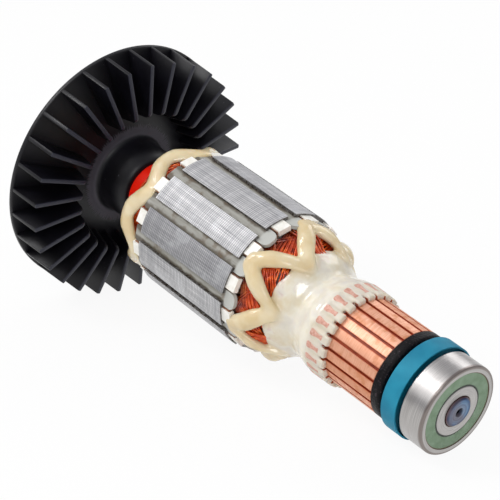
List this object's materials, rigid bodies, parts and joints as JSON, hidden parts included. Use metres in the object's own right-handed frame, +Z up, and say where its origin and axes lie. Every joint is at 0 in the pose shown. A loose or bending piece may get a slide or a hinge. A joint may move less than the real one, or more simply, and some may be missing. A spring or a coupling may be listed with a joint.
{
  "type": "motor armature",
  "caption": "Wound commutator armature of a hand-tool motor: laminated core, copper commutator, sealed ball bearing and radial cooling fan on one shaft.",
  "frame": {"origin": "on the bench under the middle of the armature, which lies on two fan blades and the rounded edge of its bearing", "axes": "+X along the armature towards the commutator and bearing end, +Z up; the shaft line lies in the X-Z plane and rises 10.65 degrees towards the fan"},
  "size_m": [0.1922, 0.0878, 0.0881],
  "materials": {
    "shaft_steel": "satin",
    "red_insulation": "gloss",
    "core_steel": "satin",
    "white_insulation": "matte",
    "slot_paper": "matte",
    "winding_wire": "gloss",
    "resin": "gloss",
    "lead_copper": "satin",
    "mica": "matte",
    "black_moulding": "satin",
    "teal_rubber": "matte",
    "bearing_steel": "polished",
    "cage_plastic": "matte",
    "seal_rubber": "matte",
    "slot_wedge_board": "matte",
    "bar_copper": "satin",
    "fan_plastic": "satin"
  },
  "bodies": {
    "rotor": {"shaft": "shaft_steel", "insulating_sleeve": "red_insulation", "core_stack": "core_steel", "front_end_insulator": "white_insulation", "rear_end_insulator": "white_insulation", "slot_liners": "slot_paper", "slot_coils": "winding_wire", "front_end_winding": "winding_wire", "rear_end_winding": "winding_wire", "front_resin_bead": "resin", "rear_resin_bead": "resin", "lead_resin": "resin", "lead_ends": "lead_copper", "mica_segments": "mica", "commutator_moulding": "black_moulding", "dust_ring": "teal_rubber", "bearing_inner_ring": "bearing_steel", "fan": "fan_plastic", "slot_wedge_01": "slot_wedge_board", "slot_wedge_02": "slot_wedge_board", "slot_wedge_03": "slot_wedge_board", "slot_wedge_04": "slot_wedge_board", "slot_wedge_05": "slot_wedge_board", "slot_wedge_06": "slot_wedge_board", "slot_wedge_07": "slot_wedge_board", "slot_wedge_08": "slot_wedge_board", "slot_wedge_09": "slot_wedge_board", "slot_wedge_10": "slot_wedge_board", "slot_wedge_11": "slot_wedge_board", "slot_wedge_12": "slot_wedge_board", "commutator_bar_01": "bar_copper", "commutator_bar_02": "bar_copper", "commutator_bar_03": "bar_copper", "commutator_bar_04": "bar_copper", "commutator_bar_05": "bar_copper", "commutator_bar_06": "bar_copper", "commutator_bar_07": "bar_copper", "commutator_bar_08": "bar_copper", "commutator_bar_09": "bar_copper", "commutator_bar_10": "bar_copper", "commutator_bar_11": "bar_copper", "commutator_bar_12": "bar_copper", "commutator_bar_13": "bar_copper", "commutator_bar_14": "bar_copper", "commutator_bar_15": "bar_copper", "commutator_bar_16": "bar_copper", "commutator_bar_17": "bar_copper", "commutator_bar_18": "bar_copper", "commutator_bar_19": "bar_copper", "commutator_bar_20": "bar_copper", "commutator_bar_21": "bar_copper", "commutator_bar_22": "bar_copper", "commutator_bar_23": "bar_copper", "commutator_bar_24": "bar_copper"},
    "bearing_outer": {"bearing_outer_ring": "bearing_steel", "bearing_front_seal": "seal_rubber", "bearing_rear_seal": "seal_rubber"},
    "bearing_ball_set": {"bearing_cage": "cage_plastic", "bearing_balls": "bearing_steel"}
  },
  "joints": [
    {"name": "bearing_spin", "type": "hinge", "parent": "rotor", "child": "bearing_outer", "pos_m": [0.08899, 0, 0.01547], "axis": [0.9828, 0, -0.1848], "continuous": true},
    {"name": "ball_set_spin", "type": "hinge", "parent": "rotor", "child": "bearing_ball_set", "pos_m": [0.08899, 0, 0.01547], "axis": [0.9828, 0, -0.1848], "continuous": true}
  ],
  "couplings": [
    {"joint": "ball_set_spin", "follows": "bearing_spin", "ratio": 0.619}
  ]
}
